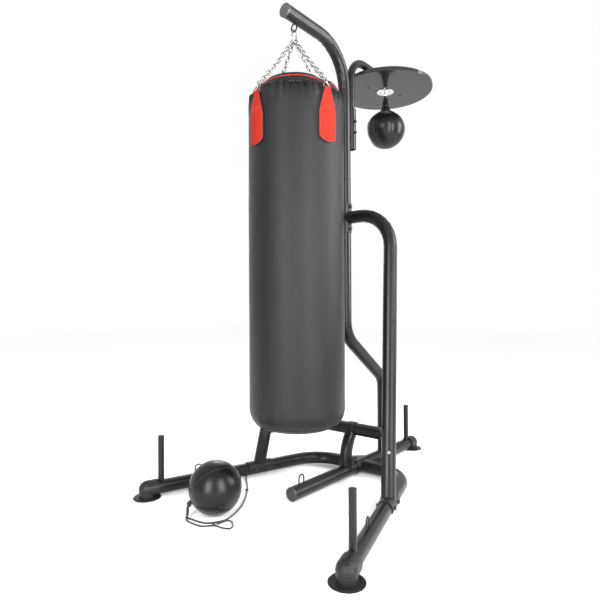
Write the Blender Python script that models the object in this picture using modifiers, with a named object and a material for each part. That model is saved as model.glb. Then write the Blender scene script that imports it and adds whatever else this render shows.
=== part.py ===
"""Heavy bag stand: bolted steel tube frame, hanging heavy bag, speed bag platform and double-end ball.

Metres, +Z up. The stand is symmetric about the plane X = 0. The open side of the base faces -Y, the
rear foot is at +Y, and the origin is on the floor at the middle of the three feet.
"""

import math

import bmesh
import bpy
from mathutils import Matrix, Vector

# Tubes
TUBE_R = 0.028
UPPER_R = 0.0275
GAP = 0.0004
TUBE_SIDES_LEVEL = 8

# Base
TUBE_Z = 0.035
FOOT_X = 0.495
FOOT_Y = 0.665
ARM_SPLAY = math.radians(17.2)
CROSS_Y = 0.153
ARM_BEND_R = 0.17
CENTRE_FRONT_Y = -0.333
ELBOW_R = 0.0335
ELBOW_REACH = 0.044
DISC_R = 0.055
DISC_T = 0.0055
PEG_R = 0.0125
PEG_TOP = 0.2455
PEG_REACH = 0.058
LOOP_HEIGHT = 0.038
LOOP_WIDTH = 0.030
LOOP_WIRE_R = 0.003
LOOP_REACH = 0.221
CENTRE_LOOP_Y = -0.273
COLLAR_T = 0.0042
GUSSET_LEG = 0.125
GUSSET_LIP = 0.012
GUSSET_T = 0.005

# Mast
MAST_Y = 0.044
LEG_Y = 0.368
KNEE_LOW_Z = 0.418
KNEE_HIGH_Z = 0.647
SPLICE_Z = 1.112
ARM_Z = 1.950
ARM_END_Y = -0.360
TOP_BEND_R = 0.185

# Braces and crossbar
BRACE_REACH = 0.515
BRACE_LEAN_IN = 0.093
BRACE_TOP_Z = 1.180
BRACE_BEND_R = 0.170
SADDLE_T = 0.0032
SADDLE_LENGTH = 0.120
CROSSBAR_Z = 0.215
CROSSBAR_Y = 0.097
CROSSBAR_HALF = 0.185
CROSSBAR_SADDLE_HALF = 0.018
CROSSBAR_BOLT_RISE = 0.010
UPRIGHT_Y = 0.040

# Heavy bag
HOOK_Y = -0.306
BAG_Y = -0.2965
BAG_R = 0.1915
BAG_SHOULDER_R = 0.1885
BAG_SEAM_R = 0.184
BAG_TOP_R = 0.143
BAG_BOTTOM_Z = 0.294
BAG_BODY_TOP_Z = 1.602
BAG_TOP_Z = 1.652
BAG_SHOULDER_DROP = 0.017
BAG_SIDE_DROP = 0.060
BAG_BOTTOM_ROUND = 0.085
STRAP_LOW_Z = 1.394
STRAP_TAPER_Z = 1.510
STRAP_TOP_Z = 1.590
STRAP_HALF_W = 0.041
STRAP_TOP_HALF_W = 0.016
STRAP_T = 0.0035
STRAP_TURN = math.radians(-11.2)
EYE_TOP_Z = ARM_Z - UPPER_R - GAP
EYE_HEIGHT = 0.038
EYE_WIDTH = 0.034
LINK_WIRE_R = 0.003
LINK_HALF_W = 0.0125
CHAIN_TOP_Z = 1.846
CHAIN_R = 0.0055
CHAIN_TOP_DROP = 0.013
CHAIN_TOP_REACH = 0.011
CHAIN_LOW_R = 0.170
CHAIN_LOW_Z = 1.634

# Speed bag platform
RECEIVER_R = 0.024
RECEIVER_BORE_GAP = 0.0006
RECEIVER_LOW_Z = 1.507
RECEIVER_TOP_Z = 1.695
BRACKET_R = 0.0175
BRACKET_LOW_Z = 1.512
BRACKET_Z = 1.940
BRACKET_END_Y = 0.540
BRACKET_BEND_R = 0.108
HOLE_PITCH = 0.051
SET_SCREW_LOW_Z = 1.582
SET_SCREW_HIGH_Z = 1.633
HOLE_LOW_Z = 1.749
HOLE_R = 0.0036
SCREW_R = 0.0030
BOARD_Y = 0.408
BOARD_R = 0.237
BOARD_LOW_Z = 1.880
BOARD_T = 0.0185
PLATE_T = 0.003
WEB_W = 0.024
WEB_LENGTH = 0.200
SWIVEL_Y = 0.412
SWIVEL_R = 0.043
SWIVEL_PIVOT_Z = 1.866
SPEED_BAG_R = 0.098
SPEED_BAG_Z = 1.688

# Double-end ball
BALL_X = -0.1545
BALL_Y = -0.5925
BALL_R = 0.0995
BALL_AXIS = Vector((0.485, 0.756, 0.441)).normalized()
BALL_STRAP_R = 0.0045
CORD_R = 0.0032

BRACKET_Y = MAST_Y + UPPER_R + RECEIVER_R + 0.0006


def clear_scene():
    for obj in list(bpy.data.objects):
        bpy.data.objects.remove(obj, do_unlink=True)


clear_scene()
PARTS = bpy.data.collections.new("heavy_bag_stand")
CUTTERS = bpy.data.collections.new("cutters")
bpy.context.scene.collection.children.link(PARTS)
bpy.context.scene.collection.children.link(CUTTERS)
CUTTERS.hide_render = True


# ---------------------------------------------------------------- materials


def material(name, colour, roughness, metallic):
    made = bpy.data.materials.get(name)
    if made is None:
        made = bpy.data.materials.new(name)
        made.use_nodes = True
        shader = made.node_tree.nodes["Principled BSDF"]
        shader.inputs["Base Color"].default_value = (*colour, 1.0)
        shader.inputs["Roughness"].default_value = roughness
        shader.inputs["Metallic"].default_value = metallic
        made.diffuse_color = (*colour, 1.0)
    return made


def black_paint():
    return material("black_paint", (0.015, 0.015, 0.016), 0.32, 0.1)


def zinc():
    return material("zinc_steel", (0.62, 0.62, 0.60), 0.35, 1.0)


def chrome():
    return material("chrome_steel", (0.75, 0.75, 0.76), 0.12, 1.0)


def black_plastic():
    return material("black_plastic", (0.02, 0.02, 0.02), 0.5, 0.0)


def bag_vinyl():
    return material("bag_vinyl", (0.028, 0.028, 0.030), 0.42, 0.0)


def orange_web():
    return material("orange_webbing", (0.80, 0.10, 0.03), 0.75, 0.0)


def black_leather():
    return material("black_leather", (0.010, 0.010, 0.010), 0.25, 0.0)


def board_wood():
    return material("board_laminate", (0.055, 0.055, 0.058), 0.2, 0.0)


def elastic():
    return material("elastic_cord", (0.02, 0.02, 0.02), 0.8, 0.0)


# ---------------------------------------------------------------- geometry helpers


def adopt(obj, name, paint, smooth_deg=35.0):
    """Names an object, gives it its material and puts it among the parts."""
    obj.name = name
    obj.data.name = name
    obj.data.materials.clear()
    obj.data.materials.append(paint)
    for owner in list(obj.users_collection):
        owner.objects.unlink(obj)
    PARTS.objects.link(obj)
    if obj.type == "MESH":
        obj.data.shade_smooth()
        obj.data.set_sharp_from_angle(angle=math.radians(smooth_deg))
    return obj


def mesh_object(name, bm, paint):
    """Turns a bmesh into a named part with its faces pointing out."""
    bmesh.ops.recalc_face_normals(bm, faces=bm.faces)
    mesh = bpy.data.meshes.new(name)
    bm.to_mesh(mesh)
    bm.free()
    return adopt(bpy.data.objects.new(name, mesh), name, paint)


def baked(obj, name, paint):
    """Replaces an object by the closed mesh that it evaluates to, with merged caps."""
    bpy.context.view_layer.update()
    evaluated = obj.evaluated_get(bpy.context.evaluated_depsgraph_get())
    mesh = bpy.data.meshes.new_from_object(evaluated)
    place = obj.matrix_world.copy()
    bm = bmesh.new()
    bm.from_mesh(mesh)
    bmesh.ops.remove_doubles(bm, verts=bm.verts, dist=1e-5)
    bmesh.ops.recalc_face_normals(bm, faces=bm.faces)
    bm.to_mesh(mesh)
    bm.free()
    bpy.data.objects.remove(obj, do_unlink=True)
    made = adopt(bpy.data.objects.new(name, mesh), name, paint)
    made.matrix_world = place
    return made


def filleted(points, radii, arc_step=math.radians(12)):
    """The points of a path of straight runs whose inner corners are round arcs of the given radii."""
    corners = [Vector(p) for p in points]
    path = [corners[0]]
    for before, corner, after, radius in zip(corners, corners[1:], corners[2:], radii):
        come = (corner - before).normalized()
        leave = (after - corner).normalized()
        turn = come.angle(leave)
        reach = radius * math.tan(turn / 2)
        start = corner - come * reach
        inward = (leave - come * come.dot(leave)).normalized()
        centre = start + inward * radius
        steps = max(3, math.ceil(turn / arc_step))
        for step in range(steps + 1):
            angle = turn * step / steps
            path.append(centre - inward * radius * math.cos(angle) + come * radius * math.sin(angle))
    path.append(corners[-1])
    return path


def smooth_route(points, per_span=4):
    """Points along a Catmull-Rom curve through a route's own points."""
    knots = [Vector(p) for p in points]
    knots = [2 * knots[0] - knots[1], *knots, 2 * knots[-1] - knots[-2]]
    route = []
    for a, b, c, d in zip(knots, knots[1:], knots[2:], knots[3:]):
        for step in range(per_span):
            t = step / per_span
            route.append(0.5 * (2 * b + (c - a) * t + (2 * a - 5 * b + 4 * c - d) * t * t
                                + (3 * b - a - 3 * c + d) * t ** 3))
    route.append(knots[-2])
    return route


def wire_curve(name, path, radius, level, cyclic=False):
    """A round wire or tube along a path, as a curve object."""
    curve = bpy.data.curves.new(name, "CURVE")
    curve.dimensions = "3D"
    curve.bevel_depth = radius
    curve.bevel_resolution = level
    curve.use_fill_caps = not cyclic
    spline = curve.splines.new("POLY")
    spline.points.add(len(path) - 1)
    for point, place in zip(spline.points, path):
        point.co = (*place, 1.0)
    spline.use_cyclic_u = cyclic
    obj = bpy.data.objects.new(name, curve)
    PARTS.objects.link(obj)
    return obj


def tube(name, path, radius, paint, level=TUBE_SIDES_LEVEL, cyclic=False):
    """A round tube along a path, as a closed mesh that can be cut."""
    return baked(wire_curve(name, path, radius, level, cyclic), name, paint)


def axis_frame(start, end):
    """The matrix that takes +Z along start to end, with its origin at start."""
    along = (Vector(end) - Vector(start)).normalized()
    turn = along.to_track_quat("Z", "Y").to_matrix().to_4x4()
    return Matrix.Translation(Vector(start)) @ turn


def cylinder_mesh(start, end, radius, sides=16):
    """A bmesh cylinder between two points."""
    length = (Vector(end) - Vector(start)).length
    bm = bmesh.new()
    bmesh.ops.create_cone(bm, cap_ends=True, segments=sides, radius1=radius, radius2=radius, depth=length)
    bmesh.ops.translate(bm, verts=bm.verts, vec=(0, 0, length / 2))
    bmesh.ops.transform(bm, matrix=axis_frame(start, end), verts=bm.verts)
    return bm


def cylinder(name, start, end, radius, paint, sides=16):
    return mesh_object(name, cylinder_mesh(start, end, radius, sides), paint)


def cut_along(obj, start, end, radius, sides=20):
    """Cuts a round bore, or a cope that fits over another tube, out of a part."""
    bm = cylinder_mesh(start, end, radius, sides)
    bmesh.ops.recalc_face_normals(bm, faces=bm.faces)
    mesh = bpy.data.meshes.new("cutter")
    bm.to_mesh(mesh)
    bm.free()
    cutter = bpy.data.objects.new("cutter_" + obj.name, mesh)
    CUTTERS.objects.link(cutter)
    cutter.hide_render = True
    cutter.display_type = "WIRE"
    bore = obj.modifiers.new("bore", "BOOLEAN")
    bore.operation = "DIFFERENCE"
    bore.solver = "EXACT"
    bore.object = cutter
    return obj


def turned(name, profile, place, paint, steps=24):
    """A turned solid: the profile, (radius, height) pairs from top to bottom, spun about its own Z."""
    mesh = bpy.data.meshes.new(name)
    bm = bmesh.new()
    verts = [bm.verts.new((radius, 0.0, height)) for radius, height in profile]
    for first, second in zip(verts, verts[1:]):
        bm.edges.new((first, second))
    bm.to_mesh(mesh)
    bm.free()
    obj = bpy.data.objects.new(name, mesh)
    PARTS.objects.link(obj)
    obj.matrix_world = place
    screw = obj.modifiers.new("turn", "SCREW")
    screw.steps = steps
    screw.render_steps = steps
    screw.use_merge_vertices = True
    screw.merge_threshold = 0.00001
    return baked(obj, name, paint)


def sleeve(name, start, end, inner, thickness, facing, spread, paint, steps=12):
    """A curved plate that wraps part way round the axis start to end, centred on the facing direction."""
    frame = axis_frame(start, end)
    length = (Vector(end) - Vector(start)).length
    local = frame.to_3x3().inverted() @ Vector(facing)
    middle = math.atan2(local.y, local.x)
    bm = bmesh.new()
    verts = []
    for step in range(steps + 1):
        angle = middle + spread * (step / steps - 0.5)
        verts.append(bm.verts.new((inner * math.cos(angle), inner * math.sin(angle), 0.0)))
    edges = [bm.edges.new(pair) for pair in zip(verts, verts[1:])]
    made = bmesh.ops.extrude_edge_only(bm, edges=edges)
    raised = [item for item in made["geom"] if isinstance(item, bmesh.types.BMVert)]
    bmesh.ops.translate(bm, verts=raised, vec=(0, 0, length))
    bm.normal_update()
    first = bm.faces[:][0]
    if first.normal.dot(Vector((first.calc_center_median().x, first.calc_center_median().y, 0))) < 0:
        bmesh.ops.reverse_faces(bm, faces=bm.faces)
    mesh = bpy.data.meshes.new(name)
    bm.to_mesh(mesh)
    bm.free()
    obj = bpy.data.objects.new(name, mesh)
    PARTS.objects.link(obj)
    obj.matrix_world = frame
    shell = obj.modifiers.new("plate", "SOLIDIFY")
    shell.thickness = thickness
    shell.offset = 1.0
    return baked(obj, name, paint)


def bolt(name, start, end, shank_r, head_r, head_h, paint, nut=True):
    """A bolt as one turned solid along start to end: hexagon head, shank, and a nut at the far end."""
    bm = cylinder_mesh(start, end, shank_r, 10)
    bm.free()
    length = (Vector(end) - Vector(start)).length
    profile = [(0, length + head_h), (head_r * 0.8, length + head_h), (head_r, length + head_h * 0.7),
               (head_r, length), (shank_r, length), (shank_r, 0)]
    if nut:
        profile += [(head_r, 0), (head_r, -head_h), (0, -head_h)]
    else:
        profile += [(0, 0)]
    return turned(name, profile, axis_frame(start, end), paint, steps=10)


def oval_link(name, centre, half_width, half_height, wire_r, across, up, paint, level=2):
    """A closed wire link whose straight sides run along up and whose ends are half circles."""
    across = Vector(across).normalized()
    up = Vector(up).normalized()
    straight = max(half_height - half_width, 0.0)
    path = []
    for end in (1, -1):
        for step in range(7):
            angle = math.pi * step / 6
            path.append(Vector(centre) + end * (across * half_width * math.cos(angle)
                        + up * (half_width * math.sin(angle) + straight)))
    return tube(name, path, wire_r, paint, level=level, cyclic=True)


# ---------------------------------------------------------------- base


def arm_point(side, reach, height=TUBE_Z):
    """A point on a base arm's centre line, measured from its foot."""
    x = FOOT_X - reach * math.sin(ARM_SPLAY)
    y = -FOOT_Y + reach * math.cos(ARM_SPLAY)
    return Vector((side * x, y, height))


def arm_direction(side):
    return Vector((-side * math.sin(ARM_SPLAY), math.cos(ARM_SPLAY), 0.0))


def corner_reach():
    """How far along the arm its line meets the line of the cross tube."""
    return (CROSS_Y + FOOT_Y) / math.cos(ARM_SPLAY)


SIDES = (("right", 1), ("left", -1))


def build_base():
    for label, side in SIDES:
        path = filleted(
            [arm_point(side, ELBOW_REACH + GAP), arm_point(side, corner_reach()),
             (side * (TUBE_R + 0.001), CROSS_Y, TUBE_Z)],
            [ARM_BEND_R],
        )
        arm = tube("base_arm_" + label, path, TUBE_R, black_paint())
        for offset in (-0.032, 0.032):
            spot = arm_point(side, BRACE_REACH + offset)
            across = arm_direction(side).cross(Vector((0, 0, 1))).normalized()
            cut_along(arm, spot - across * 0.05, spot + across * 0.05, 0.0045, 10)
        gusset("junction_gusset_" + label, side)
    centre_run = [Vector((0, CENTRE_FRONT_Y, TUBE_Z)), Vector((0, FOOT_Y - ELBOW_REACH - GAP, TUBE_Z))]
    tube("centre_tube", centre_run, TUBE_R, black_paint())
    collar_end = CROSS_Y - TUBE_R - 0.001
    ring("junction_collar", (0, collar_end - 0.020, TUBE_Z), (0, collar_end, TUBE_Z),
         TUBE_R + GAP, TUBE_R + COLLAR_T)
    end_cap("centre_tube_cap", (0, CENTRE_FRONT_Y - GAP, TUBE_Z), TUBE_R)


def gusset(name, side):
    """A flat triangular plate in the corner between the cross run of an arm and the centre tube."""
    inner_x = TUBE_R + GAP
    inner_y = CROSS_Y + TUBE_R + GAP
    outline = ((inner_x, inner_y), (inner_x + GUSSET_LEG, inner_y),
               (inner_x + GUSSET_LEG, inner_y + GUSSET_LIP), (inner_x + GUSSET_LIP, inner_y + GUSSET_LEG),
               (inner_x, inner_y + GUSSET_LEG))
    bm = bmesh.new()
    low = [bm.verts.new((side * x, y, TUBE_Z - GUSSET_T / 2)) for x, y in outline]
    face = bm.faces.new(low)
    made = bmesh.ops.extrude_face_region(bm, geom=[face])
    raised = [item for item in made["geom"] if isinstance(item, bmesh.types.BMVert)]
    bmesh.ops.translate(bm, verts=raised, vec=(0, 0, GUSSET_T))
    return mesh_object(name, bm, black_paint())


def ring(name, start, end, inner, outer):
    """A plain ring round a tube."""
    length = (Vector(end) - Vector(start)).length
    profile = [(inner, length), (outer - 0.001, length), (outer, length - 0.001), (outer, 0.001),
               (outer - 0.001, 0), (inner, 0), (inner, length)]
    return turned(name, profile, axis_frame(start, end), black_paint(), steps=20)


def end_cap(name, face, tube_r):
    """A domed plastic plug over a tube's open front end, facing -Y."""
    profile = [(0, 0.0075), (tube_r * 0.6, 0.0068), (tube_r * 0.9, 0.0045), (tube_r + 0.0006, 0.0025),
               (tube_r + 0.0006, 0), (0, 0)]
    face = Vector(face)
    turned(name, profile, axis_frame(face, face + Vector((0, -1, 0))), black_plastic(), steps=20)


def build_foot(label, foot, inward):
    """A cast elbow that turns a base tube down into its round floor flange."""
    foot = Vector(foot)
    top = Vector((foot.x, foot.y, TUBE_Z))
    mouth = top + inward * ELBOW_REACH
    flange = cylinder_mesh(foot, foot + Vector((0, 0, DISC_T)), DISC_R, 32)
    upper = [edge for edge in flange.edges if min(edge.verts[0].co.z, edge.verts[1].co.z) > DISC_T / 2]
    bmesh.ops.bevel(flange, geom=upper, offset=0.0025, segments=2, affect="EDGES")
    baked_union(
        "foot_" + label,
        [flange, cylinder_mesh(foot + Vector((0, 0, DISC_T / 2)), top, ELBOW_R - 0.001, 20),
         ball_mesh(top, ELBOW_R, 20, 12), cylinder_mesh(top, mouth, ELBOW_R + 0.0006, 24)],
    )


def ball_mesh(centre, radius, around, up):
    bm = bmesh.new()
    bmesh.ops.create_uvsphere(bm, u_segments=around, v_segments=up, radius=radius)
    bmesh.ops.translate(bm, verts=bm.verts, vec=centre)
    return bm


def baked_union(name, pieces, paint=None):
    """Joins overlapping closed bmeshes into one solid."""
    objects = []
    for index, bm in enumerate(pieces):
        bmesh.ops.recalc_face_normals(bm, faces=bm.faces)
        mesh = bpy.data.meshes.new(f"{name}_piece_{index}")
        bm.to_mesh(mesh)
        bm.free()
        obj = bpy.data.objects.new(f"{name}_piece_{index}", mesh)
        PARTS.objects.link(obj)
        objects.append(obj)
    whole = objects[0]
    for other in objects[1:]:
        join = whole.modifiers.new("join", "BOOLEAN")
        join.operation = "UNION"
        join.solver = "EXACT"
        join.object = other
    made = baked(whole, name, paint or black_paint())
    for other in objects[1:]:
        bpy.data.objects.remove(other, do_unlink=True)
    return made


def build_feet():
    for label, side in SIDES:
        build_foot(label, (side * FOOT_X, -FOOT_Y, 0), arm_direction(side))
    build_foot("rear", (0, FOOT_Y, 0), Vector((0, -1, 0)))


def build_pegs_and_loops():
    spots = [(label, arm_point(side, PEG_REACH), arm_direction(side)) for label, side in SIDES]
    spots.append(("rear", Vector((0, FOOT_Y - PEG_REACH, TUBE_Z)), Vector((0, -1, 0))))
    for label, spot, along in spots:
        peg = cylinder("weight_peg_" + label, spot + Vector((0, 0, 0.020)),
                       Vector((spot.x, spot.y, PEG_TOP)), PEG_R, black_paint(), 20)
        cut_along(peg, spot - along * 0.05, spot + along * 0.05, TUBE_R + GAP, 32)
    loops = [(label, arm_point(side, LOOP_REACH), arm_direction(side)) for label, side in SIDES]
    loops.append(("centre", Vector((0, CENTRE_LOOP_Y, TUBE_Z)), Vector((0, -1, 0))))
    for label, spot, along in loops:
        foot_z = TUBE_Z + TUBE_R + GAP
        half = LOOP_WIDTH / 2
        bend_z = foot_z + LOOP_HEIGHT - LOOP_WIRE_R - half
        path = [spot * 1.0 - along * half, spot - along * half]
        path[0].z = foot_z
        path[1].z = bend_z
        for step in range(1, 8):
            angle = math.pi * step / 8
            point = spot - along * half * math.cos(angle)
            point.z = bend_z + half * math.sin(angle)
            path.append(point)
        for height in (bend_z, foot_z):
            point = spot + along * half
            point.z = height
            path.append(point)
        tube("anchor_loop_" + label, path, LOOP_WIRE_R, black_paint(), level=2)


# ---------------------------------------------------------------- braces, crossbar and mast


def brace_lean_back():
    """How far back a brace leans per unit of height, so that it meets the mast's own plane."""
    foot = arm_point(1, BRACE_REACH)
    return (MAST_Y - foot.y) / (BRACE_TOP_Z - TUBE_Z)


def brace_point(side, height):
    foot = arm_point(1, BRACE_REACH)
    rise = height - TUBE_Z
    return Vector((side * (foot.x - BRACE_LEAN_IN * rise), foot.y + brace_lean_back() * rise, height))


def build_braces():
    for label, side in SIDES:
        along = arm_direction(side)
        foot = arm_point(side, BRACE_REACH)
        plate_x = UPPER_R + GAP + SADDLE_T + GAP
        path = filleted(
            [brace_point(side, TUBE_Z + 0.012), brace_point(side, BRACE_TOP_Z),
             (side * 0.006, MAST_Y, BRACE_TOP_Z)],
            [BRACE_BEND_R],
        )
        brace = tube("brace_" + label, path, TUBE_R, black_paint())
        cut_along(brace, foot - along * 0.08, foot + along * 0.08, TUBE_R + SADDLE_T + 2 * GAP, 48)
        cut_along(brace, (0, MAST_Y, BRACE_TOP_Z - 0.08), (0, MAST_Y, BRACE_TOP_Z + 0.08), plate_x, 48)
        half = along * SADDLE_LENGTH / 2
        saddle = sleeve("brace_saddle_" + label, foot - half, foot + half, TUBE_R + GAP, SADDLE_T,
                        (0, 0, 1), math.radians(236), black_paint(), 16)
        across = along.cross(Vector((0, 0, 1))).normalized()
        for place, offset in (("front", -0.032), ("rear", 0.032)):
            spot = foot + along * offset
            reach = TUBE_R + SADDLE_T + 2 * GAP
            cut_along(saddle, spot - across * 0.06, spot + across * 0.06, 0.0045, 10)
            bolt(f"saddle_bolt_{label}_{place}", spot - across * reach, spot + across * reach,
                 0.004, 0.0075, 0.0055, zinc())
        outward = crossbar_end_direction(side)
        spot = brace_point(side, CROSSBAR_Z + CROSSBAR_BOLT_RISE)
        cut_along(brace, spot - outward * 0.05, spot + outward * 0.05, 0.0045, 10)
        bolt("crossbar_bolt_" + label, spot - outward * (TUBE_R + 0.025), spot + outward * (TUBE_R + 0.003),
             0.004, 0.0065, 0.0045, zinc(), nut=False)


def crossbar_end_direction(side):
    """The way the crossbar's end runs, level and outward into the brace."""
    inner = Vector((side * CROSSBAR_HALF, CROSSBAR_Y, CROSSBAR_Z))
    return (brace_point(side, CROSSBAR_Z) - inner).normalized()


def build_crossbar():
    ends = [brace_point(side, CROSSBAR_Z) for side in (-1, 1)]
    path = filleted(
        [ends[0], (-CROSSBAR_HALF, CROSSBAR_Y, CROSSBAR_Z),
         (CROSSBAR_HALF, CROSSBAR_Y, CROSSBAR_Z), ends[1]],
        [0.08, 0.08],
    )
    bar = tube("crossbar", path, TUBE_R, black_paint())
    for side in (-1, 1):
        cut_along(bar, brace_point(side, 0.08), brace_point(side, 0.35), TUBE_R + GAP, 48)
        outward = crossbar_end_direction(side)
        spot = brace_point(side, CROSSBAR_Z + CROSSBAR_BOLT_RISE)
        cut_along(bar, spot, spot - outward * 0.060, 0.0045, 10)
    ring("crossbar_saddle", (-CROSSBAR_SADDLE_HALF, CROSSBAR_Y, CROSSBAR_Z),
         (CROSSBAR_SADDLE_HALF, CROSSBAR_Y, CROSSBAR_Z), TUBE_R + GAP, TUBE_R + COLLAR_T)
    rise = smooth_route([(0, UPRIGHT_Y, TUBE_Z + 0.006), (0, UPRIGHT_Y + 0.002, 0.095),
                         (0, UPRIGHT_Y + 0.009, 0.135), (0, UPRIGHT_Y + 0.026, 0.172),
                         (0, CROSSBAR_Y - 0.005, CROSSBAR_Z - 0.006)], 3)
    upright = tube("crossbar_upright", rise, UPPER_R, black_paint())
    cut_along(upright, (0, UPRIGHT_Y - 0.08, TUBE_Z), (0, UPRIGHT_Y + 0.10, TUBE_Z),
              TUBE_R + GAP, 48)
    cut_along(upright, (-0.06, CROSSBAR_Y, CROSSBAR_Z), (0.06, CROSSBAR_Y, CROSSBAR_Z),
              TUBE_R + COLLAR_T + GAP, 48)


def build_mast():
    path = filleted(
        [(0, LEG_Y, TUBE_Z + 0.003), (0, LEG_Y, KNEE_LOW_Z), (0, MAST_Y, KNEE_HIGH_Z), (0, MAST_Y, SPLICE_Z)],
        [0.09, 0.13],
    )
    lower = tube("mast_lower", path, TUBE_R, black_paint())
    cut_along(lower, (0, LEG_Y - 0.09, TUBE_Z), (0, LEG_Y + 0.09, TUBE_Z), TUBE_R + GAP, 48)
    path = filleted(
        [(0, MAST_Y, SPLICE_Z + GAP), (0, MAST_Y, ARM_Z), (0, ARM_END_Y, ARM_Z)],
        [TOP_BEND_R],
    )
    upper = tube("mast_upper", path, UPPER_R, black_paint())
    end_cap("arm_end_cap", (0, ARM_END_Y - GAP, ARM_Z), UPPER_R)
    heights = (BRACE_TOP_Z - 0.050, BRACE_TOP_Z + 0.050)
    for label, side in SIDES:
        plate = sleeve("mast_saddle_" + label, (0, MAST_Y, BRACE_TOP_Z - 0.066),
                       (0, MAST_Y, BRACE_TOP_Z + 0.066), UPPER_R + GAP, SADDLE_T, (side, 0, 0),
                       math.radians(150), black_paint(), 10)
        for height in heights:
            cut_along(plate, (side * 0.015, MAST_Y, height), (side * 0.05, MAST_Y, height), 0.0045, 10)
    for place, height in zip(("low", "high"), heights):
        cut_along(upper, (-0.05, MAST_Y, height), (0.05, MAST_Y, height), 0.0045, 10)
        reach = UPPER_R + SADDLE_T + 2 * GAP
        bolt("mast_bolt_" + place, (-reach, MAST_Y, height), (reach, MAST_Y, height),
             0.004, 0.0075, 0.0055, zinc())


# ---------------------------------------------------------------- heavy bag


def build_hanger():
    """The arm's welded eye opens along Y and the quick link through it along X, so the link swings freely."""
    eye_centre = (0, HOOK_Y, EYE_TOP_Z - EYE_HEIGHT / 2)
    oval_link("hanger_eye", eye_centre, EYE_WIDTH / 2 - LINK_WIRE_R, EYE_HEIGHT / 2 - LINK_WIRE_R,
              LINK_WIRE_R, (1, 0, 0), (0, 0, 1), black_paint())
    eye_low_z = EYE_TOP_Z - EYE_HEIGHT + LINK_WIRE_R
    link_top = eye_low_z + 2 * LINK_WIRE_R + GAP
    oval_link("quick_link", (0, HOOK_Y, (link_top + CHAIN_TOP_Z) / 2), LINK_HALF_W,
              (link_top - CHAIN_TOP_Z) / 2, LINK_WIRE_R, (0, 1, 0), (0, 0, 1), zinc())


def bag_shoulder():
    """The bag body's upper outline, (radius, height) pairs from the rim down."""
    return ((BAG_SEAM_R, BAG_BODY_TOP_Z - GAP), (BAG_SHOULDER_R, BAG_BODY_TOP_Z - BAG_SHOULDER_DROP),
            (BAG_R, BAG_BODY_TOP_Z - BAG_SIDE_DROP), (BAG_R, BAG_BOTTOM_Z + BAG_BOTTOM_ROUND))


def bag_side_radius(height):
    """The bag body's radius at a height on its upper outline."""
    outline = bag_shoulder()
    for (upper_r, upper_z), (lower_r, lower_z) in zip(outline, outline[1:]):
        if height >= lower_z:
            share = (upper_z - height) / (upper_z - lower_z)
            return upper_r + (lower_r - upper_r) * share
    return BAG_R


def strap_plate(name, facing, columns=5):
    """A strap sewn down the bag's side: a curved band that tapers towards its top."""
    shoulder_z = BAG_BODY_TOP_Z - BAG_SIDE_DROP
    rows = ((STRAP_LOW_Z, STRAP_HALF_W), (STRAP_TAPER_Z, STRAP_HALF_W),
            (shoulder_z, STRAP_HALF_W - (STRAP_HALF_W - STRAP_TOP_HALF_W) * (shoulder_z - STRAP_TAPER_Z)
             / (STRAP_TOP_Z - STRAP_TAPER_Z)),
            (STRAP_TOP_Z - 0.011, STRAP_TOP_HALF_W + 0.0035), (STRAP_TOP_Z, STRAP_TOP_HALF_W))
    bm = bmesh.new()
    layers = []
    for lift in (0.0, STRAP_T):
        layer = []
        for height, half in rows:
            radius = bag_side_radius(height) + 3 * GAP + lift
            line = []
            for column in range(columns):
                angle = facing + half / radius * (2 * column / (columns - 1) - 1)
                x, y = radius * math.cos(angle), BAG_Y + radius * math.sin(angle)
                line.append(bm.verts.new((x, y, height)))
            layer.append(line)
        layers.append(layer)
    inner, outer = layers
    for layer in layers:
        for low, high in zip(layer, layer[1:]):
            for column in range(columns - 1):
                bm.faces.new((low[column], low[column + 1], high[column + 1], high[column]))
    for edge in (0, -1):
        for row in range(len(rows) - 1):
            bm.faces.new((inner[row][edge], inner[row + 1][edge], outer[row + 1][edge], outer[row][edge]))
        for column in range(columns - 1):
            bm.faces.new((inner[edge][column], inner[edge][column + 1],
                          outer[edge][column + 1], outer[edge][column]))
    return mesh_object(name, bm, orange_web())


def build_bag():
    arc = BAG_BOTTOM_ROUND
    profile = [(0, BAG_BODY_TOP_Z - GAP), *bag_shoulder()]
    for step in range(1, 6):
        angle = math.pi / 2 * step / 6
        profile.append((BAG_R - arc + arc * math.cos(angle), BAG_BOTTOM_Z + arc - arc * math.sin(angle)))
    profile += [(BAG_R - arc, BAG_BOTTOM_Z), (0, BAG_BOTTOM_Z)]
    turned("bag_body", profile, Matrix.Translation((0, BAG_Y, 0)), bag_vinyl(), 32)
    profile = [(0, BAG_TOP_Z), (BAG_TOP_R - 0.004, BAG_TOP_Z), (BAG_TOP_R, BAG_TOP_Z - 0.003),
               (BAG_SEAM_R, BAG_BODY_TOP_Z), (0, BAG_BODY_TOP_Z)]
    turned("bag_top_band", profile, Matrix.Translation((0, BAG_Y, 0)), bag_vinyl(), 32)
    names = ("right", "rear", "left", "front")
    for index, name in enumerate(names):
        angle = STRAP_TURN + index * math.pi / 2
        out = Vector((math.cos(angle), math.sin(angle), 0))
        strap_plate("bag_strap_" + name, angle)
        top = Vector((0, HOOK_Y, CHAIN_TOP_Z - CHAIN_TOP_DROP)) + out * CHAIN_TOP_REACH
        low = Vector((0, BAG_Y, CHAIN_LOW_Z)) + out * CHAIN_LOW_R
        cylinder("chain_" + name, top, low, CHAIN_R, zinc(), 6)


# ---------------------------------------------------------------- speed bag platform


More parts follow.
